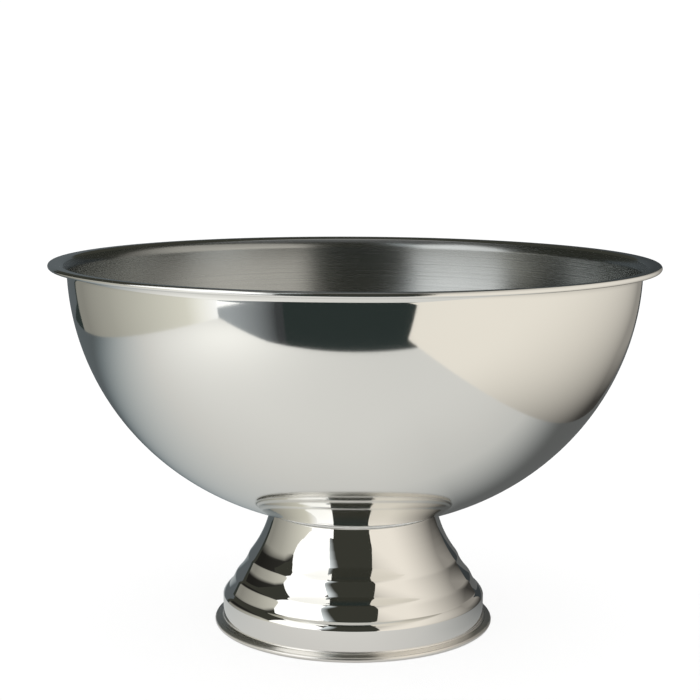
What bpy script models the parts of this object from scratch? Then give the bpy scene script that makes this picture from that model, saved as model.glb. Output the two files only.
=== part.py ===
"""Champagne bucket: a spun steel bowl on a hollow pedestal foot.

The bowl's rim is turned out and folded under itself, and the foot's base is rolled into a bead.
A stud welded under the bowl passes down through the foot's web. A wing nut on that stud pulls
foot and bowl together on a thin seat ring, and comes off by hand so that the two can be washed.

Units are metres, +Z is up, and the origin is the centre of the face that the foot stands on.
An outline is a list of (radius, height) points, turned about the vertical axis.
"""

import math

import bmesh
import bpy

# Bowl
HEIGHT = 0.2450
RIM_RADIUS = 0.2000
BOWL_RADIUS = 0.1880
BOWL_DEPTH = 0.1723
BOWL_FULLNESS = 2.12
BOWL_WIDEST_HEIGHT = 0.2434
BOWL_SHEET = 0.0010
RIM_FOLD_HEIGHT = 0.0034
RIM_FOLD_WIDTH = 0.0050
RIM_FILLET = 0.0079

# Foot, from the neck under the bowl down to the bead that it stands on
FOOT_SHEET = 0.0008
NECK_RADIUS = 0.0565
NECK_ROUNDING = 0.0008
BAND_RADIUS = 0.0882
BAND_TOP = 0.0189
BAND_BOTTOM = 0.0054
BEAD_RADIUS = 0.0017
BEAD_CENTRE_RADIUS = 0.0921
BEAD_INNER_RADIUS = 0.0897
FLANGE_RISE = 0.0007
FLANGE_HOLLOW = 0.0003
# (radius, height, bulge, steps): each arc ends here, and bulges outwards, or inwards where negative
FOOT_WALL = (
    (0.0703, 0.0460, -0.0018, 5),
    (0.0715, 0.0437, 0.0001, 1),
    (0.0788, 0.0328, -0.0006, 3),
    (0.0803, 0.0305, 0.0001, 1),
    (0.0842, 0.0234, -0.0002, 2),
    (BAND_RADIUS, BAND_TOP, 0.0004, 2),
)

# Fastening under the bowl
GAP = 0.0003
SEAT_THICKNESS = 0.0006
SEAT_INNER_RADIUS = 0.0480
SEAT_OUTER_RADIUS = 0.0557
PLATE_RADIUS = 0.0260
PLATE_THICKNESS = 0.0020
WEB_HEIGHT = 0.0620
WEB_FLAT_RADIUS = 0.0325
WEB_HOLE_RADIUS = 0.0045
THREAD_RADIUS = 0.0039
THREAD_DEPTH = 0.0007
THREAD_PITCH = 0.00125
STUD_END = 0.0380
PLAIN_TURNS = 2
BORE_RADIUS = 0.0042
WASHER_RADIUS = 0.0150
WASHER_THICKNESS = 0.0015
SPRING_RADIUS = 0.0068
SPRING_THICKNESS = 0.0018
SPRING_SPLIT_DEG = 12.0
NUT_HEIGHT = 0.0090
NUT_TOP_RADIUS = 0.0078
NUT_BOTTOM_RADIUS = 0.0064
WING_LENGTH = 0.0164
WING_WIDTH = 0.0092
WING_THICKNESS = 0.0026
WING_TILT_DEG = 45.0
WING_CENTRE_RADIUS = 0.0115
WING_DROP = 0.0105

# Facets
SHELL_SEGMENTS = 56
SMALL_SEGMENTS = 28
THREAD_SEGMENTS = 14
BOWL_STEPS = 12
RIM_FILLET_STEPS = 5
NECK_STEPS = 3
FOLD_STEPS = 4
FLANGE_STEPS = 2
PLATE_STEPS = 3
WING_POINTS = 20
SHARP_ANGLE = math.radians(30)


def bowl_underside(radius):
    """Height of the bowl's outer surface at this radius."""
    rise = math.sqrt(1 - (radius / BOWL_RADIUS) ** BOWL_FULLNESS)
    return BOWL_WIDEST_HEIGHT - BOWL_DEPTH * rise


def foot_seat(radius):
    """Height of the foot's top, which follows the bowl under the seat ring."""
    return bowl_underside(radius) - GAP - SEAT_THICKNESS - GAP


PLATE_TOP = bowl_underside(0) - GAP
STUD_TOP = PLATE_TOP - PLATE_THICKNESS - GAP
WASHER_TOP = WEB_HEIGHT - FOOT_SHEET - GAP
SPRING_TOP = WASHER_TOP - WASHER_THICKNESS - GAP
NUT_TOP = SPRING_TOP - SPRING_THICKNESS - GAP


def round_arc(centre, radius, start_deg, end_deg, steps):
    """Points on a circle in the outline's plane, both ends included."""
    turn = (end_deg - start_deg) / steps
    angles = [math.radians(start_deg + turn * step) for step in range(steps + 1)]
    return [(centre[0] + radius * math.cos(a), centre[1] + radius * math.sin(a)) for a in angles]


def bulged_line(start, end, bulge, steps):
    """Points after start, up to end, on an arc that stands out to the left by bulge."""
    run = (end[0] - start[0], end[1] - start[1])
    half = math.hypot(*run) / 2
    radius = (half**2 + bulge**2) / (2 * abs(bulge))
    half_angle = math.asin(half / radius)
    side = math.copysign(1, bulge)
    left = (-run[1] / (2 * half), run[0] / (2 * half))
    points = []
    for step in range(1, steps + 1):
        angle = half_angle * (2 * step / steps - 1)
        along = (1 + math.sin(angle) / math.sin(half_angle)) / 2
        out = side * radius * (math.cos(angle) - math.cos(half_angle))
        points.append((start[0] + run[0] * along + left[0] * out,
                       start[1] + run[1] * along + left[1] * out))
    return points


def to_the_right(path, distance):
    """The path's points moved sideways to its right, each along the middle of its two sides."""
    moved = []
    for index, (r, z) in enumerate(path):
        before = path[max(index - 1, 0)]
        after = path[min(index + 1, len(path) - 1)]
        right = [0.0, 0.0]
        for tail, head in ((before, (r, z)), ((r, z), after)):
            length = math.dist(tail, head)
            if length > 0:
                right[0] += (head[1] - tail[1]) / length
                right[1] += (tail[0] - head[0]) / length
        scale = distance / math.hypot(*right)
        moved.append((r + right[0] * scale, z + right[1] * scale))
    return moved


def link(name, mesh, material):
    mesh.materials.append(material)
    obj = bpy.data.objects.new(name, mesh)
    bpy.context.scene.collection.objects.link(obj)
    return obj


def finished(name, bm, material):
    """Turn a bmesh into an object with outward faces and smooth round sides."""
    bmesh.ops.remove_doubles(bm, verts=bm.verts, dist=1e-6)
    bmesh.ops.recalc_face_normals(bm, faces=bm.faces)
    mesh = bpy.data.meshes.new(name)
    bm.to_mesh(mesh)
    bm.free()
    mesh.shade_smooth()
    mesh.set_sharp_from_angle(angle=SHARP_ANGLE)
    return link(name, mesh, material)


def turned(name, outline, material, segments=SHELL_SEGMENTS, closed=True):
    """A solid of revolution. An open outline starts and ends on the axis."""
    bm = bmesh.new()
    points = [bm.verts.new((r, 0, z)) for r, z in outline]
    edges = [bm.edges.new(pair) for pair in zip(points, points[1:])]
    if closed:
        edges.append(bm.edges.new((points[-1], points[0])))
    bmesh.ops.spin(bm, geom=points + edges, axis=(0, 0, 1), cent=(0, 0, 0),
                   steps=segments, angle=2 * math.pi, use_merge=True)
    return finished(name, bm, material)


def steel(name, colour, roughness):
    return principled(name, colour, roughness, 1.0)


def principled(name, colour, roughness, metallic):
    material = bpy.data.materials.new(name)
    material.use_nodes = True
    shader = material.node_tree.nodes["Principled BSDF"]
    shader.inputs["Base Color"].default_value = (*colour, 1)
    shader.inputs["Roughness"].default_value = roughness
    shader.inputs["Metallic"].default_value = metallic
    material.diffuse_color = (*colour, 1)
    material.roughness = roughness
    material.metallic = metallic
    return material


def bowl_shell():
    """The bowl: slightly fuller than half an ellipse, turned out at the rim and folded back under it."""
    half = BOWL_SHEET / 2
    rim_middle = HEIGHT - half
    fillet_height = rim_middle - RIM_FILLET
    last_angle = math.acos((BOWL_WIDEST_HEIGHT - fillet_height) / (BOWL_DEPTH - half))
    path = []
    for step in range(BOWL_STEPS + 1):
        angle = last_angle * step / BOWL_STEPS
        path.append(((BOWL_RADIUS - half) * math.sin(angle) ** (2 / BOWL_FULLNESS),
                     BOWL_WIDEST_HEIGHT - (BOWL_DEPTH - half) * math.cos(angle)))
    fillet_centre = (path[-1][0] + RIM_FILLET, fillet_height)
    path += round_arc(fillet_centre, RIM_FILLET, 180, 90, RIM_FILLET_STEPS)[1:]
    fold_radius = (RIM_FOLD_HEIGHT - BOWL_SHEET) / 2
    fold_centre = (RIM_RADIUS - half - fold_radius, rim_middle - fold_radius)
    path += round_arc(fold_centre, fold_radius, 90, -90, FOLD_STEPS)
    path.append((RIM_RADIUS - RIM_FOLD_WIDTH, rim_middle - 2 * fold_radius))
    outside = to_the_right(path, half)
    inside = to_the_right(path, -half)
    outside[0] = (0, outside[0][1])
    inside[0] = (0, inside[0][1])
    return turned("bowl_shell", outside + inside[::-1],
                  steel("polished_steel", (0.74, 0.74, 0.71), 0.10), closed=False)


def foot_path():
    """The foot's outer face, from the web's hole out over the neck and down to the bead."""
    path = [(WEB_HOLE_RADIUS, WEB_HEIGHT), (WEB_FLAT_RADIUS, WEB_HEIGHT)]
    neck_flat = NECK_RADIUS - NECK_ROUNDING
    path += [(r, foot_seat(r)) for r in (SEAT_INNER_RADIUS, neck_flat)]
    neck_centre = (neck_flat, foot_seat(neck_flat) - NECK_ROUNDING)
    path += round_arc(neck_centre, NECK_ROUNDING, 90, 0, NECK_STEPS)[1:]
    for radius, height, bulge, steps in FOOT_WALL:
        path += bulged_line(path[-1], (radius, height), bulge, steps)
    flange = BEAD_RADIUS * 2 + FLANGE_RISE
    path.append((BAND_RADIUS, BAND_BOTTOM))
    flange_end = (BAND_RADIUS + BAND_BOTTOM - flange, flange)
    path += bulged_line(path[-1], flange_end, -FLANGE_HOLLOW, FLANGE_STEPS)
    path += round_arc((BEAD_CENTRE_RADIUS, BEAD_RADIUS), BEAD_RADIUS, 90, -90, FOLD_STEPS)
    path.append((BEAD_INNER_RADIUS, 0))
    return path


def foot_shell():
    path = foot_path()
    inner = to_the_right(path, FOOT_SHEET)
    inner[-1] = (BEAD_INNER_RADIUS, FOOT_SHEET)
    inner[0] = (WEB_HOLE_RADIUS, WEB_HEIGHT - FOOT_SHEET)
    return turned("foot_shell", path + inner[::-1],
                  steel("mirror_steel", (0.80, 0.79, 0.77), 0.03))


def seat_ring():
    """A thin silicone ring that follows the bowl, squeezed between it and the foot's neck."""
    top = [(r, bowl_underside(r) - GAP) for r in (SEAT_INNER_RADIUS, SEAT_OUTER_RADIUS)]
    bottom = [(r, z - SEAT_THICKNESS) for r, z in top]
    return turned("seat_ring", top + bottom[::-1],
                  principled("silicone", (0.83, 0.83, 0.80), 0.45, 0.0))


def stud_plate(material):
    """The dished disc under the bowl that spreads the stud's pull over the thin sheet."""
    radii = [PLATE_RADIUS * step / PLATE_STEPS for step in range(PLATE_STEPS + 1)]
    top = [(r, bowl_underside(r) - GAP) for r in radii]
    bottom = [(r, z - PLATE_THICKNESS) for r, z in top]
    return turned("stud_plate", top + bottom[::-1], material, SMALL_SEGMENTS, closed=False)


def cut_level(bm, height, keep_above):
    """Cut the bmesh at a height, throw one side away and close the cut with a flat face."""
    cut = bmesh.ops.bisect_plane(bm, geom=bm.verts[:] + bm.edges[:] + bm.faces[:], dist=1e-7,
                                 plane_co=(0, 0, height), plane_no=(0, 0, 1),
                                 clear_inner=keep_above, clear_outer=not keep_above)
    rim = [item for item in cut["geom_cut"] if isinstance(item, bmesh.types.BMEdge)]
    bmesh.ops.contextual_create(bm, geom=rim)


def stud(material):
    """A threaded stud. One crest and one root line wind down it, and it is plain at both ends."""
    turns = math.ceil((STUD_TOP - STUD_END) / THREAD_PITCH) + PLAIN_TURNS
    count = turns * THREAD_SEGMENTS
    plain = PLAIN_TURNS * THREAD_SEGMENTS
    run_out = THREAD_SEGMENTS / 2
    start = STUD_TOP + THREAD_PITCH
    root_radius = THREAD_RADIUS - THREAD_DEPTH
    bm = bmesh.new()
    crests, roots = [], []
    for step in range(count + THREAD_SEGMENTS + 1):
        angle = 2 * math.pi * step / THREAD_SEGMENTS
        height = start - THREAD_PITCH * step / THREAD_SEGMENTS
        from_end = min(step, count - step) - plain
        crest_radius = root_radius + THREAD_DEPTH * min(max(from_end / run_out, 0), 1)
        across = (math.cos(angle), math.sin(angle))
        crests.append(bm.verts.new((crest_radius * across[0], crest_radius * across[1], height)))
        roots.append(bm.verts.new((root_radius * across[0], root_radius * across[1],
                                   height - THREAD_PITCH / 2)))
    for step in range(count):
        below = step + THREAD_SEGMENTS
        bm.faces.new((crests[step], roots[step], roots[step + 1], crests[step + 1]))
        bm.faces.new((roots[step], crests[below], crests[below + 1], roots[step + 1]))
    cut_level(bm, STUD_TOP, keep_above=False)
    cut_level(bm, STUD_END, keep_above=True)
    return finished("stud", bm, material)


def clamp_washer(material):
    bottom = WASHER_TOP - WASHER_THICKNESS
    outline = [(BORE_RADIUS, WASHER_TOP), (WASHER_RADIUS, WASHER_TOP),
               (WASHER_RADIUS, bottom), (BORE_RADIUS, bottom)]
    return turned("clamp_washer", outline, material, SMALL_SEGMENTS)


def spring_washer(material):
    """A split lock washer, pressed flat by the nut."""
    bm = bmesh.new()
    section = [(BORE_RADIUS, 0), (SPRING_RADIUS, 0), (SPRING_RADIUS, -SPRING_THICKNESS),
               (BORE_RADIUS, -SPRING_THICKNESS)]
    corners = [bm.verts.new((r, 0, SPRING_TOP + z)) for r, z in section]
    start = bm.faces.new(corners)
    sweep = math.radians(360 - SPRING_SPLIT_DEG)
    bmesh.ops.spin(bm, geom=[start], axis=(0, 0, 1), cent=(0, 0, 0),
                   steps=SMALL_SEGMENTS - 2, angle=sweep)
    return finished("spring_washer", bm, material)


def wing(side, material):
    """One wing of the nut: a tilted oval plate, kept only as a shape to join to the hub."""
    bm = bmesh.new()
    tilt = math.radians(WING_TILT_DEG)
    outline = []
    for step in range(WING_POINTS):
        angle = 2 * math.pi * step / WING_POINTS
        along = WING_LENGTH / 2 * math.cos(angle)
        across = WING_WIDTH / 2 * math.sin(angle)
        out = WING_CENTRE_RADIUS + along * math.cos(tilt) + across * math.sin(tilt)
        drop = WING_DROP + along * math.sin(tilt) - across * math.cos(tilt)
        outline.append(bm.verts.new((side * out, -WING_THICKNESS / 2, NUT_TOP - drop)))
    plate = bm.faces.new(outline)
    grown = bmesh.ops.extrude_face_region(bm, geom=[plate])
    moved = [item for item in grown["geom"] if isinstance(item, bmesh.types.BMVert)]
    bmesh.ops.translate(bm, verts=moved, vec=(0, WING_THICKNESS, 0))
    guide = finished("wing_guide_right" if side > 0 else "wing_guide_left", bm, material)
    guide.hide_render = True
    guide.display_type = "WIRE"
    return guide


def wing_nut(material):
    """The nut's hub, joined to its two wings. Its origin is on the stud's axis."""
    bottom = NUT_TOP - NUT_HEIGHT
    outline = [(BORE_RADIUS, NUT_TOP), (NUT_TOP_RADIUS, NUT_TOP),
               (NUT_BOTTOM_RADIUS, bottom), (BORE_RADIUS, bottom)]
    nut = turned("wing_nut", outline, material, SMALL_SEGMENTS)
    for side in (1, -1):
        join = nut.modifiers.new("join_wing", "BOOLEAN")
        join.operation = "UNION"
        join.solver = "EXACT"
        join.object = wing(side, material)
    return nut


def main():
    for obj in list(bpy.data.objects):
        bpy.data.objects.remove(obj)
    hardware = steel("plain_steel", (0.60, 0.60, 0.58), 0.30)
    bowl_shell()
    foot_shell()
    seat_ring()
    stud_plate(hardware)
    stud(hardware)
    clamp_washer(hardware)
    spring_washer(hardware)
    wing_nut(hardware)


main()
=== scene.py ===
"""The looks of the champagne bucket: fine turned shells, fine hardware, steel and a small studio.

Everything is in metres and in the frame's own coordinates, +Z up. An outline is a list of
(radius, height) points that is turned about the vertical axis. Outlines run so that the outer
face is on their left-hand side when seen with the radius to the right and the height up.
"""

import math

import bmesh
import bpy
from mathutils import Matrix, Vector

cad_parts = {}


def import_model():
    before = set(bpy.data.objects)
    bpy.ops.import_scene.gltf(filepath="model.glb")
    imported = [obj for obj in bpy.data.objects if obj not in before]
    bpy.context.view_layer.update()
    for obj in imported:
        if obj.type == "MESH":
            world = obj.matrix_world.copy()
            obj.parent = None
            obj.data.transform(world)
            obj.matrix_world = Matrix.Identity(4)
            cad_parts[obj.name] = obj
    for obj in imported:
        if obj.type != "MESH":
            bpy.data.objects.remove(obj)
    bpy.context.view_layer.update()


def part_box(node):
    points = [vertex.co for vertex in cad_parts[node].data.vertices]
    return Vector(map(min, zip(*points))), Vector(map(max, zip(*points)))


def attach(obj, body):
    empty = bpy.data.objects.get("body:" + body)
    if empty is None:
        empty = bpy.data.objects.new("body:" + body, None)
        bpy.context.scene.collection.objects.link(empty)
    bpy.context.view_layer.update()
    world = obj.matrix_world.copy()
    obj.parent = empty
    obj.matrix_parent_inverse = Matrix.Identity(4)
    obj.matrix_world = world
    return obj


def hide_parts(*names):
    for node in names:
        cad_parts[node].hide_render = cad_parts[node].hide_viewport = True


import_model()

# Bowl
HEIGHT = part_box("bowl_shell")[1].z
RIM_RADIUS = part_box("bowl_shell")[1].x
BOWL_RADIUS = 0.1880
BOWL_DEPTH = 0.1723
BOWL_FULLNESS = 2.12
BOWL_WIDEST_HEIGHT = 0.2434
BOWL_SHEET = 0.0010
RIM_FOLD_HEIGHT = 0.0034
RIM_FOLD_WIDTH = 0.0050
RIM_FILLET = 0.0079

# Foot
FOOT_SHEET = 0.0008
NECK_RADIUS = 0.0565
NECK_ROUNDING = 0.0008
BAND_RADIUS = 0.0882
BAND_TOP = 0.0189
BAND_BOTTOM = 0.0054
BEAD_RADIUS = 0.0017
BEAD_CENTRE_RADIUS = 0.0921
BEAD_INNER_RADIUS = 0.0897
FLANGE_RISE = 0.0007
FLANGE_HOLLOW = 0.0003
# The wall below the neck: (radius, height, how far the run down to there bulges out)
WALL_STATIONS = (
    (0.0703, 0.0460, -0.0018),
    (0.0715, 0.0437, 0.0001),
    (0.0788, 0.0328, -0.0006),
    (0.0803, 0.0305, 0.0001),
    (0.0842, 0.0234, -0.0002),
    (BAND_RADIUS, BAND_TOP, 0.0004),
)
CREASE_SOFTNESS = 0.00045
PATH_SPACING = 0.00015

# Facets
SHELL_SEGMENTS = 256
HARDWARE_SEGMENTS = 96
MAX_TURN = math.radians(1.2)
MAX_CHORD = 0.0060
BOWL_WALL_STEPS = 72
RIM_FILLET_STEPS = 24
RIM_FOLD_STEPS = 14
SHEET_EDGE_STEPS = 8
RIM_FINISH_POINTS = 10
FOOT_CURVE_STEPS = 12
FLANGE_STEPS = 6
BEAD_STEPS = 24
SEAT_STEPS = 12
PLATE_STEPS = 10
PLATE_EDGE_STEPS = 8
CORNER_STEPS = 5
SIDE_PER_CUT = 2.1
ON_AXIS = 1e-7

# Foot's web, and what holds the foot on
WEB_HEIGHT = 0.0620
WEB_FLAT_RADIUS = 0.0325
WEB_HOLE_RADIUS = 0.0045
SEAT_INNER_RADIUS = 0.0480
SEAT_OUTER_RADIUS = 0.0561
SEAT_SQUEEZE = 0.0011
SEAT_ROUNDING = 0.0004
PLATE_RADIUS = 0.0260
PLATE_THICKNESS = 0.0020
WELD_COUNT = 6
WELD_HALF_SIZE = (0.0018, 0.0042, 0.0011)
WELD_BEYOND_PLATE = 0.0009
WELD_DROP = 0.0006
THREAD_RADIUS = 0.0039
THREAD_DEPTH = 0.0007
THREAD_PITCH = 0.00125
THREAD_ROWS = 8
THREAD_FLANK = 2.8
THREAD_ROOT = 0.2
BORE_RADIUS = 0.0042
WASHER_RADIUS = 0.0150
WASHER_ROUNDING = 0.0003
SPRING_RADIUS = 0.0068
SPRING_ROUNDING = 0.00025
SPRING_SPLIT_DEG = 10.0
SPRING_SLANT_DEG = 18.0
NUT_HEIGHT = 0.0090
NUT_ROUNDING = 0.0007
NUT_TOP_RADIUS = 0.0078
NUT_BOTTOM_RADIUS = 0.0064
WING_LENGTH = 0.0164
WING_WIDTH = 0.0092
WING_THICKNESS = 0.0026
WING_TILT_DEG = 45.0
WING_CENTRE_RADIUS = 0.0115
WING_DROP = 0.0105
WING_FLATNESS = 2.2
WING_EDGE_POWER = 0.7
CAST_VOXEL = 0.0003
CAST_SMOOTHING = 0.5
CAST_SMOOTHING_STEPS = 4
TOUCH = 0.00005

# Looks
BACKGROUND = (1.06, 1.06, 1.06)
LINE_SLOPE = 0.73
LINE_RUN = 0.6
LINE_SEED = 3.1
ROOM_BELOW = (0.028, 0.038, 0.036)
ROOM_ABOVE = (0.044, 0.045, 0.036)
FLOOR_REACH = 4.0

# Camera
SENSOR_WIDTH_MM = 36
LENS_MM = 82.02
CAMERA_PLACE = (-0.00294, -1.052, 0.3403)
CAMERA_DROP_DEG = 8.429
CAMERA_ROLL_DEG = 0.26


# ---------------------------------------------------------------- outlines

def bowl_underside(radius):
    """Height of the bowl's outer surface at this radius."""
    return BOWL_WIDEST_HEIGHT - BOWL_DEPTH * math.sqrt(1 - (radius / BOWL_RADIUS) ** BOWL_FULLNESS)


def spread(start, end, steps):
    """Evenly spaced values from start to end, both included."""
    return [start + (end - start) * step / steps for step in range(steps + 1)]


def round_arc(centre, radius, start_deg, end_deg, steps):
    """Points on a circle in the outline's plane, both ends included."""
    turn = (end_deg - start_deg) / steps
    angles = [math.radians(start_deg + turn * step) for step in range(steps + 1)]
    return [(centre[0] + radius * math.cos(a), centre[1] + radius * math.sin(a)) for a in angles]


def bulged_line(start, end, bulge, steps):
    """Points after start, up to end, on an arc that stands out to the left by bulge."""
    run = (end[0] - start[0], end[1] - start[1])
    half = math.hypot(*run) / 2
    radius = (half**2 + bulge**2) / (2 * abs(bulge))
    half_angle = math.asin(half / radius)
    side = math.copysign(1, bulge)
    left = (-run[1] / (2 * half), run[0] / (2 * half))
    points = []
    for step in range(1, steps + 1):
        angle = half_angle * (2 * step / steps - 1)
        along = (1 + math.sin(angle) / math.sin(half_angle)) / 2
        out = side * radius * (math.cos(angle) - math.cos(half_angle))
        points.append((start[0] + run[0] * along + left[0] * out,
                       start[1] + run[1] * along + left[1] * out))
    return points


def side_of(path, distance):
    """The path's points moved sideways to its right, each along the middle of its two sides."""
    moved = []
    for index, (r, z) in enumerate(path):
        before = path[max(index - 1, 0)]
        after = path[min(index + 1, len(path) - 1)]
        right = [0.0, 0.0]
        for tail, head in ((before, (r, z)), ((r, z), after)):
            length = math.dist(tail, head)
            if length > 0:
                right[0] += (head[1] - tail[1]) / length
                right[1] += (tail[0] - head[0]) / length
        scale = distance / math.hypot(*right)
        moved.append((r + right[0] * scale, z + right[1] * scale))
    return moved


def even(path, spacing):
    """The same path with points at even distances along it."""
    lengths = [0.0]
    for tail, head in zip(path, path[1:]):
        lengths.append(lengths[-1] + math.dist(tail, head))
    count = max(round(lengths[-1] / spacing), 1)
    points, index = [], 0
    for step in range(count + 1):
        target = lengths[-1] * step / count
        while index < len(path) - 2 and lengths[index + 1] < target:
            index += 1
        span = lengths[index + 1] - lengths[index]
        share = (target - lengths[index]) / span if span > 0 else 0
        tail, head = path[index], path[index + 1]
        points.append(tuple(a + (b - a) * share for a, b in zip(tail, head)))
    return points


def softened(path, radius):
    """Round the path's creases by averaging each point with its neighbours within the radius."""
    points = even(path, PATH_SPACING)
    reach = max(round(radius / PATH_SPACING), 1)
    last = len(points) - 1
    soft = []
    for index in range(len(points)):
        span = min(reach, index, last - index)
        near = points[index - span:index + span + 1]
        soft.append(tuple(sum(p[axis] for p in near) / len(near) for axis in (0, 1)))
    return soft


def thinned(path):
    """Leave out the points that a straight run doesn't need."""
    kept = [path[0]]
    heading = None
    for index in range(1, len(path) - 1):
        tail, here, head = kept[-1], path[index], path[index + 1]
        ahead = math.atan2(head[1] - here[1], head[0] - here[0])
        if heading is None:
            heading = math.atan2(here[1] - tail[1], here[0] - tail[0])
        turn = abs((ahead - heading + math.pi) % (2 * math.pi) - math.pi)
        if turn > MAX_TURN or math.dist(tail, here) > MAX_CHORD:
            kept.append(here)
            heading = ahead
    return kept + [path[-1]]


# ---------------------------------------------------------------- meshes

def link(name, mesh, materials):
    """Put the mesh in the scene as an object with these materials."""
    for material in materials:
        mesh.materials.append(material)
    obj = bpy.data.objects.new(name, mesh)
    bpy.context.scene.collection.objects.link(obj)
    return obj


def link_bmesh(name, bm, materials):
    """Turn the faces outward and put the finished bmesh in the scene."""
    bmesh.ops.recalc_face_normals(bm, faces=bm.faces)
    mesh = bpy.data.meshes.new(name)
    bm.to_mesh(mesh)
    bm.free()
    return link(name, mesh, materials)


def turned(name, outline, materials, segments=SHELL_SEGMENTS, closed=True, slot_at=None):
    """A solid of revolution with a smooth surface. An open outline starts and ends on the axis."""
    bm = bmesh.new()
    rings = []
    for r, z in outline:
        if r < ON_AXIS:
            rings.append([bm.verts.new((0, 0, z))] * segments)
            continue
        angles = (2 * math.pi * step / segments for step in range(segments))
        rings.append([bm.verts.new((r * math.cos(a), r * math.sin(a), z)) for a in angles])
    pairs = list(zip(rings, rings[1:]))
    if closed:
        pairs.append((rings[-1], rings[0]))
    for index, (upper, lower) in enumerate(pairs):
        for step in range(segments):
            after = (step + 1) % segments
            corners = (upper[step], upper[after], lower[after], lower[step])
            face = bm.faces.new(list(dict.fromkeys(corners)))
            face.smooth = True
            face.material_index = slot_at(index) if slot_at else 0
    return link_bmesh(name, bm, materials)


def take_over(piece, node, body):
    """Show this piece in place of the CAD node, on the same body."""
    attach(piece, body)
    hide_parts(node)


# ---------------------------------------------------------------- materials

class Nodes:
    """A small helper that adds and links shader nodes."""

    def __init__(self, tree):
        self.tree = tree

    def add(self, kind, inputs=None, **settings):
        """A new node with its settings and inputs."""
        node = self.tree.nodes.new(kind)
        for key, value in settings.items():
            setattr(node, key, value)
        self.feed(node, inputs or {})
        return node

    def feed(self, node, inputs):
        """Link each input that is given as a socket, and set the others."""
        for key, value in inputs.items():
            if isinstance(value, bpy.types.NodeSocket):
                self.tree.links.new(value, node.inputs[key])
            else:
                node.inputs[key].default_value = value

    def math(self, operation, first, second=0.0):
        """The result of a Math node."""
        return self.add("ShaderNodeMath", {0: first, 1: second}, operation=operation).outputs[0]

    def squared_distance(self, x, y):
        """The square of the distance that these two offsets make."""
        squares = [self.math("MULTIPLY", offset, offset) for offset in (x, y)]
        return self.math("ADD", *squares)

    def ramp(self, value, low, high, to_low, to_high, smooth=False):
        """The value's way from low to high, carried over to to_low and to_high and held there."""
        inputs = {"Value": value, "From Min": low, "From Max": high,
                  "To Min": to_low, "To Max": to_high}
        kind = "SMOOTHSTEP" if smooth else "LINEAR"
        return self.add("ShaderNodeMapRange", inputs, interpolation_type=kind).outputs["Result"]

    def noise(self, place, scale, detail, roughness=0.5):
        """Cloudy noise, mostly between 0.3 and 0.7."""
        inputs = {"Vector": place, "Scale": scale, "Detail": detail, "Roughness": roughness}
        return self.add("ShaderNodeTexNoise", inputs).outputs["Fac"]

    def bump(self, height, distance, strength=1.0, **more):
        """A normal that follows the height, which counts as this distance from 0 to 1."""
        inputs = {"Height": height, "Strength": strength, "Distance": distance, **more}
        return self.add("ShaderNodeBump", inputs).outputs[0]

    def mix(self, share, first, second):
        """A colour between two others. A Mix node's colours are inputs 6 and 7 and output 2."""
        inputs = {"Factor": share, 6: first, 7: second}
        return self.add("ShaderNodeMix", inputs, data_type="RGBA").outputs[2]


def new_material(name):
    """A material, its node helper and its shader."""
    material = bpy.data.materials.new(name)
    material.use_nodes = True
    shader = material.node_tree.nodes["Principled BSDF"]
    return material, Nodes(material.node_tree), shader


def around_axis(nodes):
    """A point's place, and its angle, radius and height about the vertical axis, as sockets."""
    place = nodes.add("ShaderNodeTexCoord").outputs["Object"]
    split = nodes.add("ShaderNodeSeparateXYZ", {0: place})
    x, y, z = split.outputs
    radius = nodes.math("SQRT", nodes.squared_distance(x, y))
    angle = nodes.math("ARCTAN2", y, x)
    return place, angle, radius, z


def turning_lines(nodes, angle, radius, height, spacing):
    """Fine lines that run round the axis, as left by spinning and polishing.

    Height and radius are added up, so that walls and level faces both get their lines.
    """
    across = nodes.math("ADD", height, nodes.math("MULTIPLY", radius, LINE_SLOPE))
    rows = nodes.math("DIVIDE", across, spacing)
    along = nodes.math("MULTIPLY", angle, LINE_RUN)
    spot = nodes.add("ShaderNodeCombineXYZ", {0: rows, 1: along, 2: LINE_SEED})
    return nodes.noise(spot.outputs[0], scale=1.0, detail=4.0, roughness=0.65)


def steel(name, tint, roughness, haze, line_spacing, line_depth, anisotropy=0.0, waviness=0.0):
    """Turned steel: lines round the axis, haze in patches, and faint waves from spinning."""
    material, nodes, shader = new_material(name)
    place, angle, radius, height = around_axis(nodes)
    lines = turning_lines(nodes, angle, radius, height, line_spacing)
    patches = nodes.noise(place, scale=14.0, detail=3.0)
    rough = nodes.math("ADD", nodes.ramp(lines, 0.3, 0.7, roughness * 0.8, roughness * 1.2),
                       nodes.ramp(patches, 0.35, 0.75, 0.0, haze))
    worn = nodes.ramp(patches, 0.3, 0.8, 0.0, 0.35)
    darker = (tint[0] * 0.93, tint[1] * 0.935, tint[2] * 0.94, 1)
    colour = nodes.mix(worn, (*tint, 1), darker)
    nodes.feed(shader, {"Metallic": 1.0, "Roughness": rough, "Base Color": colour})
    if anisotropy:
        tangent = nodes.add("ShaderNodeTangent", direction_type="RADIAL", axis="Z").outputs[0]
        nodes.feed(shader, {"Tangent": tangent, "Anisotropic": anisotropy,
                            "Anisotropic Rotation": 0.25})
    under = {}
    if waviness:
        waves = nodes.noise(place, scale=9.0, detail=1.0)
        under["Normal"] = nodes.bump(waves, waviness)
    nodes.feed(shader, {"Normal": nodes.bump(lines, line_depth, **under)})
    return material


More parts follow.
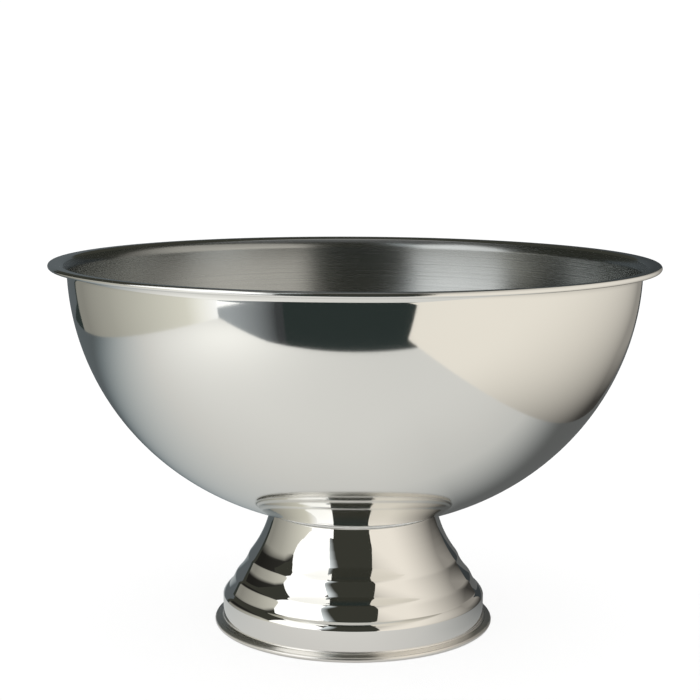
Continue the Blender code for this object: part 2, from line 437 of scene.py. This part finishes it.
def silicone():
    """White silicone rubber: faint grain, and a little light goes in."""
    material, nodes, shader = new_material("silicone_white")
    place = nodes.add("ShaderNodeTexCoord").outputs["Object"]
    grain = nodes.noise(place, scale=900.0, detail=2.0)
    lightness = nodes.ramp(grain, 0.3, 0.7, 0.0, 1.0)
    tone = nodes.mix(lightness, (0.70, 0.70, 0.67, 1), (0.78, 0.78, 0.75, 1))
    rough = nodes.ramp(grain, 0.2, 0.8, 0.35, 0.5)
    nodes.feed(shader, {"Base Color": tone, "Roughness": rough,
                        "Normal": nodes.bump(grain, 0.0001, strength=0.3),
                        "Subsurface Weight": 0.15, "Subsurface Radius": (0.001, 0.001, 0.001)})
    return material


# ---------------------------------------------------------------- pieces

def bowl_shell(outside, rim, inside):
    """The bowl with its folded rim, one sheet thick everywhere."""
    half = BOWL_SHEET / 2
    rim_middle = HEIGHT - half
    fillet_height = rim_middle - RIM_FILLET
    last_angle = math.acos((BOWL_WIDEST_HEIGHT - fillet_height) / (BOWL_DEPTH - half))
    wall = []
    for step in range(BOWL_WALL_STEPS + 1):
        angle = last_angle * step / BOWL_WALL_STEPS
        wall.append(((BOWL_RADIUS - half) * math.sin(angle) ** (2 / BOWL_FULLNESS),
                     BOWL_WIDEST_HEIGHT - (BOWL_DEPTH - half) * math.cos(angle)))
    fillet_centre = (wall[-1][0] + RIM_FILLET, fillet_height)
    wall += round_arc(fillet_centre, RIM_FILLET, 180, 90, RIM_FILLET_STEPS)[1:]
    fold_radius = (RIM_FOLD_HEIGHT - BOWL_SHEET) / 2
    fold_centre = (RIM_RADIUS - half - fold_radius, rim_middle - fold_radius)
    fold = round_arc(fold_centre, fold_radius, 90, -90, RIM_FOLD_STEPS)
    fold.append((RIM_RADIUS - RIM_FOLD_WIDTH + half, rim_middle - 2 * fold_radius))
    path = wall + fold
    under = side_of(path, half)
    over = side_of(path, -half)
    under[0] = (0, under[0][1])
    over[0] = (0, over[0][1])
    edge = round_arc(path[-1], half, -90, -270, SHEET_EDGE_STEPS)[1:-1]
    outline = under + edge + over[::-1]
    rim_start = len(wall) - RIM_FINISH_POINTS
    rim_end = len(outline) - rim_start

    def slot_at(index):
        if index < rim_start:
            return 0
        return 1 if index < rim_end else 2

    piece = turned("bowl_spun_shell", outline, [outside, rim, inside], closed=False, slot_at=slot_at)
    take_over(piece, "bowl_shell", "bucket")


def foot_shell(outside, bead_edge, inside):
    """The spun foot: web, neck, coves with two steps, band, flange and bead."""
    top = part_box("foot_shell")[1].z
    neck_flat = NECK_RADIUS - NECK_ROUNDING

    def seat(radius):
        """Height of the flare under the ring, which follows the bowl's own curve."""
        return top + bowl_underside(radius) - bowl_underside(neck_flat)

    web = [(WEB_HOLE_RADIUS, WEB_HEIGHT), (WEB_FLAT_RADIUS, WEB_HEIGHT),
           (SEAT_INNER_RADIUS, seat(SEAT_INNER_RADIUS)), (neck_flat, seat(neck_flat))]
    neck_centre = (neck_flat, seat(neck_flat) - NECK_ROUNDING)
    wall = round_arc(neck_centre, NECK_ROUNDING, 90, 0, FOOT_CURVE_STEPS)
    for radius, height, bulge in WALL_STATIONS:
        wall += bulged_line(wall[-1], (radius, height), bulge, FOOT_CURVE_STEPS)
    wall.append((BAND_RADIUS, BAND_BOTTOM))
    flange_height = BEAD_RADIUS * 2 + FLANGE_RISE
    flange_end = (BAND_RADIUS + BAND_BOTTOM - flange_height, flange_height)
    wall += bulged_line(wall[-1], flange_end, -FLANGE_HOLLOW, FLANGE_STEPS)
    bead = round_arc((BEAD_CENTRE_RADIUS, BEAD_RADIUS), BEAD_RADIUS, 90, -90, BEAD_STEPS)
    bead.append((BEAD_INNER_RADIUS, 0))
    upper_bead, lower_bead = bead[:BEAD_STEPS // 2], bead[BEAD_STEPS // 2:]
    soft = softened(web + wall + upper_bead, CREASE_SOFTNESS) + lower_bead
    outer = thinned(soft)
    inner = thinned(side_of(soft, FOOT_SHEET))
    inner[-1] = (BEAD_INNER_RADIUS, FOOT_SHEET)
    outline = outer + inner[::-1]
    last_outer = len(outer) - 1

    def slot_at(index):
        if index >= last_outer:
            return 2
        return 0 if outline[index][1] > BAND_BOTTOM + CREASE_SOFTNESS else 1

    piece = turned("foot_spun_shell", outline, [outside, bead_edge, inside], slot_at=slot_at)
    take_over(piece, "foot_shell", "bucket")


def rounded(outline, radius):
    """A closed outline with its corners rounded."""
    points = []
    for index, here in enumerate(outline):
        before = Vector(outline[index - 1]) - Vector(here)
        after = Vector(outline[(index + 1) % len(outline)]) - Vector(here)
        cut = min(radius, before.length / SIDE_PER_CUT, after.length / SIDE_PER_CUT)
        start = Vector(here) + before.normalized() * cut
        end = Vector(here) + after.normalized() * cut
        for step in range(CORNER_STEPS + 1):
            share = step / CORNER_STEPS
            near = start.lerp(Vector(here), share)
            far = Vector(here).lerp(end, share)
            points.append(tuple(near.lerp(far, share)))
    return points


def bored_ring(top_radius, bottom_radius, low, high, rounding):
    """The rounded section of a ring about the stud."""
    outline = [(BORE_RADIUS, high), (top_radius, high), (bottom_radius, low), (BORE_RADIUS, low)]
    return rounded(outline, rounding)


def seat_ring(material):
    """The squeezed ring. It fills the joint and stands a hair proud of it."""
    radii = spread(SEAT_INNER_RADIUS, SEAT_OUTER_RADIUS, SEAT_STEPS)
    top = [(r, bowl_underside(r) - TOUCH) for r in radii]
    bottom = [(r, z - SEAT_SQUEEZE) for r, z in top]
    piece = turned("seat_ring_soft", rounded(top + bottom[::-1], SEAT_ROUNDING), [material])
    take_over(piece, "seat_ring", "bucket")


def stud_plate(material):
    """The dished disc with the short welds that join its edge to the bowl."""
    top = [(r, bowl_underside(r) - TOUCH) for r in spread(0, PLATE_RADIUS, PLATE_STEPS)]
    bottom = [(r, z - PLATE_THICKNESS) for r, z in top]
    half = PLATE_THICKNESS / 2
    edge = round_arc((PLATE_RADIUS, top[-1][1] - half), half, 80, -80, PLATE_EDGE_STEPS)
    outline = top + edge + bottom[::-1]
    piece = turned("stud_plate_round", outline, [material], HARDWARE_SEGMENTS, closed=False)
    bm = bmesh.new()
    bm.from_mesh(piece.data)
    weld_radius = PLATE_RADIUS + WELD_BEYOND_PLATE
    place = Matrix.Translation((weld_radius, 0, bowl_underside(weld_radius) - WELD_DROP))
    size = Matrix.Diagonal((*WELD_HALF_SIZE, 1))
    for step in range(WELD_COUNT):
        turn = Matrix.Rotation(2 * math.pi * step / WELD_COUNT, 4, "Z")
        bmesh.ops.create_icosphere(bm, subdivisions=3, radius=1.0, matrix=turn @ place @ size)
    for face in bm.faces:
        face.smooth = True
    bm.to_mesh(piece.data)
    bm.free()
    take_over(piece, "stud_plate", "bucket")


def stud(material):
    """The stud. Its thread is a shallow groove that winds down it and fades out at both ends."""
    low, high = (corner.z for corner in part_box("stud"))
    rows = round((high - low) / THREAD_PITCH * THREAD_ROWS)
    segments = HARDWARE_SEGMENTS // 2
    bm = bmesh.new()
    rings = []
    for row in range(rows + 1):
        height = high - (high - low) * row / rows
        from_end = min(height - low, high - height)
        fade = min(from_end / THREAD_PITCH, 1)
        ring = []
        for step in range(segments):
            angle = 2 * math.pi * step / segments
            turn = (height / THREAD_PITCH + angle / (2 * math.pi)) % 1
            crest = min(max(abs(turn - 0.5) * THREAD_FLANK - THREAD_ROOT, 0), 1)
            radius = THREAD_RADIUS - THREAD_DEPTH * (1 - (1 - crest) * fade)
            ring.append(bm.verts.new((radius * math.cos(angle), radius * math.sin(angle), height)))
        rings.append(ring)
    for upper, lower in zip(rings, rings[1:]):
        for step in range(segments):
            after = (step + 1) % segments
            corners = (upper[step], lower[step], lower[after], upper[after])
            bm.faces.new(corners).smooth = True
    bm.faces.new(rings[0])
    bm.faces.new(rings[-1][::-1])
    take_over(link_bmesh("stud_threaded", bm, [material]), "stud", "bucket")


def clamp_washer(material):
    """The wide flat washer under the foot's web."""
    low, high = (corner.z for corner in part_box("clamp_washer"))
    section = bored_ring(WASHER_RADIUS, WASHER_RADIUS, low, high, WASHER_ROUNDING)
    piece = turned("clamp_washer_round", section, [material], HARDWARE_SEGMENTS)
    take_over(piece, "clamp_washer", "washers")


def spring_washer(material):
    """The lock washer, split on a slant."""
    low, high = (corner.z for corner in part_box("spring_washer"))
    section = bored_ring(SPRING_RADIUS, SPRING_RADIUS, low, high, SPRING_ROUNDING)
    sweep = math.radians(360 - SPRING_SPLIT_DEG)
    slant = math.radians(SPRING_SLANT_DEG) / (high - low)
    bm = bmesh.new()
    rings = []
    for step in range(HARDWARE_SEGMENTS + 1):
        turn = sweep * step / HARDWARE_SEGMENTS
        ring = []
        for r, z in section:
            angle = turn + (z - low) * slant
            ring.append(bm.verts.new((r * math.cos(angle), r * math.sin(angle), z)))
        rings.append(ring)
    for first, second in zip(rings, rings[1:]):
        for index in range(len(section)):
            after = (index + 1) % len(section)
            corners = (first[index], first[after], second[after], second[index])
            bm.faces.new(corners).smooth = True
    bm.faces.new(rings[0])
    bm.faces.new(rings[-1][::-1])
    piece = link_bmesh("spring_washer_split", bm, [material])
    take_over(piece, "spring_washer", "washers")


def wing(heading, top):
    """One wing: an oval plate with rounded edges, tilted away from the hub, as a bmesh."""
    bm = bmesh.new()
    size = Matrix.Diagonal((WING_LENGTH / 2, WING_THICKNESS / 2, WING_WIDTH / 2, 1))
    tilt = Matrix.Rotation(math.radians(WING_TILT_DEG), 4, "Y")
    place = Matrix.Translation((WING_CENTRE_RADIUS, 0, top - WING_DROP))
    turn = Matrix.Rotation(heading, 4, "Z")
    bmesh.ops.create_uvsphere(bm, u_segments=48, v_segments=32, radius=1.0)
    for vert in bm.verts:
        x, y, z = vert.co
        flat = math.copysign(min(abs(y) * WING_FLATNESS, 1) ** WING_EDGE_POWER, y)
        vert.co = (turn @ place @ tilt @ size) @ Vector((x, flat, z))
    return bm


def wing_nut(material):
    """The cast nut: hub and wings run into each other with soft fillets."""
    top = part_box("wing_nut")[1].z
    section = bored_ring(NUT_TOP_RADIUS, NUT_BOTTOM_RADIUS, top - NUT_HEIGHT, top, NUT_ROUNDING)
    piece = turned("wing_nut_cast", section, [material], HARDWARE_SEGMENTS)
    for heading in (0, math.pi):
        bm = wing(heading, top)
        bm.from_mesh(piece.data)
        bm.to_mesh(piece.data)
        bm.free()
    remesh = piece.modifiers.new("cast", "REMESH")
    remesh.mode = "VOXEL"
    remesh.voxel_size = CAST_VOXEL
    remesh.use_smooth_shade = True
    smooth = piece.modifiers.new("fillets", "SMOOTH")
    smooth.factor = CAST_SMOOTHING
    smooth.iterations = CAST_SMOOTHING_STEPS
    bpy.context.view_layer.update()
    evaluated = piece.evaluated_get(bpy.context.evaluated_depsgraph_get())
    shape = bpy.data.meshes.new_from_object(evaluated)
    piece.modifiers.clear()
    piece.data = shape
    take_over(piece, "wing_nut", "wing_nut")


# ---------------------------------------------------------------- studio

def light_only(name):
    """A material that only gives light, with its node helper."""
    material = bpy.data.materials.new(name)
    material.use_nodes = True
    material.cycles.emission_sampling = "NONE"
    nodes = Nodes(material.node_tree)
    nodes.tree.nodes.clear()
    place = nodes.add("ShaderNodeNewGeometry").outputs["Position"]
    x, y, z = nodes.add("ShaderNodeSeparateXYZ", {0: place}).outputs
    return material, nodes, x, y, z


def emit(nodes, colour, power):
    """Make this colour and power the material's light."""
    light = nodes.add("ShaderNodeEmission", {"Color": colour, "Strength": power})
    nodes.add("ShaderNodeOutputMaterial", {"Surface": light.outputs[0]})


def glow(name, colour, along, low, high, from_power, to_power):
    """Light that changes evenly along one axis between two places."""
    material, nodes, *place = light_only(name)
    power = nodes.ramp(place["xyz".index(along)], low, high, from_power, to_power)
    emit(nodes, (*colour, 1), power)
    return material


def card(name, corners, material):
    """A flat panel that only mirrors see."""
    mesh = bpy.data.meshes.new(name)
    mesh.from_pydata(corners, [], [tuple(range(len(corners)))])
    obj = link(name, mesh, [material])
    obj.visible_camera = False
    obj.visible_diffuse = False
    obj.visible_shadow = False


def standing(name, start, end, low, high, material):
    """A card that stands on the line from start to end, seen from above."""
    card(name, [(*start, low), (*end, low), (*end, high), (*start, high)], material)


def side_card(name, x, corners, material):
    """A card in the upright plane at x, with its corners as (y, z)."""
    card(name, [(x, y, z) for y, z in corners], material)


def blob(nodes, x, y, centre, width, height):
    """A soft round patch on the table: height times a bell curve about the centre."""
    across = nodes.math("ADD", x, -centre[0])
    along = nodes.math("ADD", y, -centre[1])
    square = nodes.squared_distance(across, along)
    bell = nodes.math("EXPONENT", nodes.math("MULTIPLY", square, -0.5 / width**2))
    return nodes.math("MULTIPLY", bell, height)


def table_light():
    """The pale table as the steel sees it: brightest at the front left, dim and bluer at the back.

    It is half as bright close round the foot, in the foot's own shade. The part under the foot
    is bright again, so that a view from below shows what is inside.
    """
    material, nodes, x, y, _ = light_only("table_light")
    aside = nodes.ramp(x, 0.02, 0.10, 0.0, 1.0)
    shade = nodes.math("MULTIPLY", aside, nodes.ramp(y, -0.10, 0.08, 0.06, 0.38))
    depth = nodes.math("ADD", y, shade)
    fall = nodes.ramp(depth, -0.25, 0.45, 1.0, 0.16, True)
    level = nodes.math("MULTIPLY", fall, 0.775)
    level = nodes.math("ADD", level, blob(nodes, x, y, (-0.47, -0.47), 0.19, 0.33))
    from_axis = nodes.math("SQRT", nodes.squared_distance(x, y))
    own_shade = nodes.ramp(from_axis, 0.0912, 0.0965, 0.5, 1.0, True)
    level = nodes.math("MULTIPLY", level, own_shade)
    under_foot = nodes.ramp(from_axis, 0.080, 0.089, 1.0, 0.0)
    below = nodes.math("MULTIPLY", under_foot, nodes.ramp(x, -0.08, 0.08, 0.95, 0.35))
    level = nodes.math("ADD", level, below)
    left = nodes.ramp(x, -0.05, 0.05, 1.0, 0.3)
    cool = nodes.math("MULTIPLY", nodes.ramp(depth, -0.1, 0.3, 0.0, 1.0), left)
    emit(nodes, nodes.mix(cool, (1.0, 0.99, 0.955, 1), (0.84, 0.97, 1.02, 1)), level)
    return material


def warm_light():
    """The cream card: full at the front, dim at the back and nearly dark there by the table."""
    material, nodes, _, y, z = light_only("warm_light")
    higher = nodes.math("MULTIPLY", nodes.math("SUBTRACT", z, 0.08), 0.8)
    depth = nodes.math("SUBTRACT", y, higher)
    front = nodes.ramp(depth, -0.32, 0.25, 1.0, 0.05, True)
    back = nodes.ramp(z, 0.03, 0.13, 0.03, 0.31)
    level = nodes.math("MAXIMUM", front, back)
    upper = nodes.ramp(z, 0.26, 0.56, 1.0, 0.66)
    emit(nodes, (0.97, 0.915, 0.825, 1), nodes.math("MULTIPLY", level, upper))
    return material


def left_light():
    """The card on the left: white at its front end and dimmer to the back.

    Its soft top edge slopes down to the back.
    """
    material, nodes, _, y, z = light_only("left_light")
    level = nodes.math("MAXIMUM", nodes.ramp(y, -0.5, 0.3, 0.88, 0.27),
                       nodes.ramp(y, -0.5, 0.6, 0.70, 0.19))
    edge = nodes.ramp(y, 0.0, 0.6, 0.37, 0.15)
    above = nodes.math("SUBTRACT", z, edge)
    level = nodes.math("MULTIPLY", level, nodes.ramp(above, -0.04, 0.04, 1.0, 0.06, True))
    front = nodes.ramp(y, -0.62, -0.40, 1.0, 0.0)
    level = nodes.math("ADD", level, nodes.math("MULTIPLY", front, 0.3))
    emit(nodes, nodes.mix(front, (1.0, 0.98, 0.86, 1), (1, 1, 1, 1)), level)
    return material


def side_gradient():
    """The soft end of the white panel, which fades to the right into the room's dark colour.

    It reaches further to the right the higher up it is.
    """
    material, nodes, x, _, z = light_only("side_gradient")
    end = nodes.ramp(z, 0.40, 1.10, -0.50, -0.33)
    before_end = nodes.math("SUBTRACT", x, end)
    share = nodes.ramp(before_end, -0.24, 0.0, 0.9, 0.0)
    emit(nodes, nodes.mix(share, (*ROOM_ABOVE, 1), (0.9, 0.97, 1.0, 1)), 1.0)
    return material


def studio():
    """Table, cards and panels as the polished steel sees them."""
    card("table_card",
         [(-0.68, -0.62, 0), (-0.30, -0.535, 0), (0.60, -0.53, 0), (0.60, 1.2, 0), (-0.68, 1.2, 0)],
         table_light())
    card("warm_card",
         [(0.194, -0.61, 0), (0.334, 0.365, 0), (0.334, 0.365, 0.80),
          (0.216, -0.46, 0.80), (0.21, -0.50, 0.30), (0.201, -0.56, 0.19)],
         warm_light())
    side_card("left_card", -0.69,
              [(-0.62, -0.02), (0.62, -0.02), (0.62, 0.30), (0.30, 0.42),
               (-0.10, 0.42), (-0.20, 0.29), (-0.50, 0.19), (-0.62, 0.10)],
              left_light())
    side_card("white_panel", -0.72, [(-0.16, 0.05), (-1.45, 0.05), (-1.45, 1.5), (-0.10, 1.5)],
              glow("white_light", (1, 1, 0.99), "y", -1.5, 0.0, 1.5, 1.3))
    standing("blue_panel", (-0.72, -0.53), (-0.72, -1.50), -0.8, 0.05,
             glow("blue_light", (0.93, 1.0, 1.04), "y", -1.35, -0.72, 0.055, 0.42))
    standing("side_panel", (-0.60, -1.0), (-0.30, -1.0), 0.40, 2.4, side_gradient())
    standing("slate_backdrop", (-1.1, 1.25), (1.1, 1.25), -0.05, 0.6,
             glow("backdrop_light", (0.86, 0.98, 1.04), "x", -0.3, 0.5, 0.125, 0.05))
    card("top_box", [(-0.6, -0.5, 1.6), (0.6, -0.5, 1.6), (0.6, 0.7, 1.6), (-0.6, 0.7, 1.6)],
         glow("top_light", (1, 1, 0.98), "y", -0.5, 0.7, 0.10, 0.30))


def floor():
    """The pale floor, which lets the white background through.

    Mirrors see the table card in its place. It can't be seen from below, so that a view from
    there shows what is inside the foot.
    """
    mesh = bpy.data.meshes.new("floor")
    signs = ((-1, -1), (1, -1), (1, 1), (-1, 1))
    corners = [(x * FLOOR_REACH, y * FLOOR_REACH, 0) for x, y in signs]
    mesh.from_pydata(corners, [], [(0, 1, 2, 3)])
    material, nodes, shader = new_material("floor_paper")
    place, _, radius, _ = around_axis(nodes)
    grain = nodes.noise(place, scale=60.0, detail=3.0)
    tone = nodes.mix(grain, (0.945, 0.945, 0.94, 1), (0.975, 0.975, 0.97, 1))
    nodes.feed(shader, {"Base Color": tone, "Roughness": 0.9, "Specular IOR Level": 0.1})
    behind = nodes.add("ShaderNodeNewGeometry").outputs["Backfacing"]
    away = nodes.math("MAXIMUM", behind, nodes.ramp(radius, 0.1, 0.8, 0.80, 1.0, True))
    clear = nodes.add("ShaderNodeBsdfTransparent")
    both = nodes.add("ShaderNodeMixShader", {0: away, 1: shader.outputs[0], 2: clear.outputs[0]})
    nodes.feed(nodes.tree.nodes["Material Output"], {"Surface": both.outputs[0]})
    obj = link("floor", mesh, [material])
    obj.visible_glossy = False


def world():
    """White to the camera and to matt surfaces, and a dim room to mirrors."""
    scene_world = bpy.data.worlds.new("studio")
    scene_world.use_nodes = True
    scene_world.cycles.sampling_method = "NONE"
    bpy.context.scene.world = scene_world
    nodes = Nodes(scene_world.node_tree)
    nodes.tree.nodes.clear()
    path = nodes.add("ShaderNodeLightPath")
    direction = nodes.add("ShaderNodeTexCoord").outputs["Generated"]
    split = nodes.add("ShaderNodeSeparateXYZ", {0: direction})
    up = nodes.ramp(split.outputs[2], -0.1, 0.2, 0.0, 1.0)
    room = nodes.mix(up, (*ROOM_BELOW, 1), (*ROOM_ABOVE, 1))
    colour = nodes.mix(path.outputs["Is Glossy Ray"], (*BACKGROUND, 1), room)
    light = nodes.add("ShaderNodeBackground", {"Color": colour, "Strength": 1.0})
    nodes.add("ShaderNodeOutputWorld", {"Surface": light.outputs[0]})


def camera():
    """A tabletop view, a little above the rim and looking slightly down."""
    data = bpy.data.cameras.new("camera")
    data.sensor_width = SENSOR_WIDTH_MM
    data.lens = LENS_MM
    obj = bpy.data.objects.new("camera", data)
    bpy.context.scene.collection.objects.link(obj)
    tilt = Matrix.Rotation(math.radians(90 - CAMERA_DROP_DEG), 4, "X")
    roll = Matrix.Rotation(math.radians(CAMERA_ROLL_DEG), 4, "Z")
    obj.matrix_world = Matrix.Translation(CAMERA_PLACE) @ tilt @ roll
    bpy.context.scene.camera = obj


bpy.context.scene.view_settings.view_transform = "Standard"
outside = steel("bowl_outside", (0.80, 0.80, 0.775), roughness=0.06, haze=0.015,
                line_spacing=0.0005, line_depth=0.0000006, anisotropy=0.5, waviness=0.00003)
rim = steel("bowl_rim", (0.80, 0.80, 0.78), roughness=0.09, haze=0.02,
            line_spacing=0.0003, line_depth=0.0000010)
# Painted shade: the bowl's inside is the same sheet of steel as its outside, but it is given a much
# darker tint. The tint stands in for the shade inside the bowl and for the dark things that the
# inside mirrors.
inside = steel("bowl_inside_painted_shade", (0.47, 0.485, 0.48), roughness=0.24, haze=0.05,
               line_spacing=0.0006, line_depth=0.000002, anisotropy=0.5)
mirror = steel("foot_outside", (0.84, 0.83, 0.805), roughness=0.02, haze=0.01,
               line_spacing=0.0006, line_depth=0.0000002)
worn = steel("foot_bead", (0.84, 0.82, 0.785), roughness=0.29, haze=0.03,
             line_spacing=0.0006, line_depth=0.0000006)
dull = steel("foot_inside", (0.60, 0.59, 0.57), roughness=0.30, haze=0.10,
             line_spacing=0.0006, line_depth=0.000006)
plain = steel("hardware_steel", (0.62, 0.62, 0.60), roughness=0.28, haze=0.08,
              line_spacing=0.0004, line_depth=0.000004)
bowl_shell(outside, rim, inside)
foot_shell(mirror, worn, dull)
seat_ring(silicone())
stud_plate(plain)
stud(plain)
clamp_washer(plain)
spring_washer(plain)
wing_nut(plain)
studio()
floor()
world()
camera()
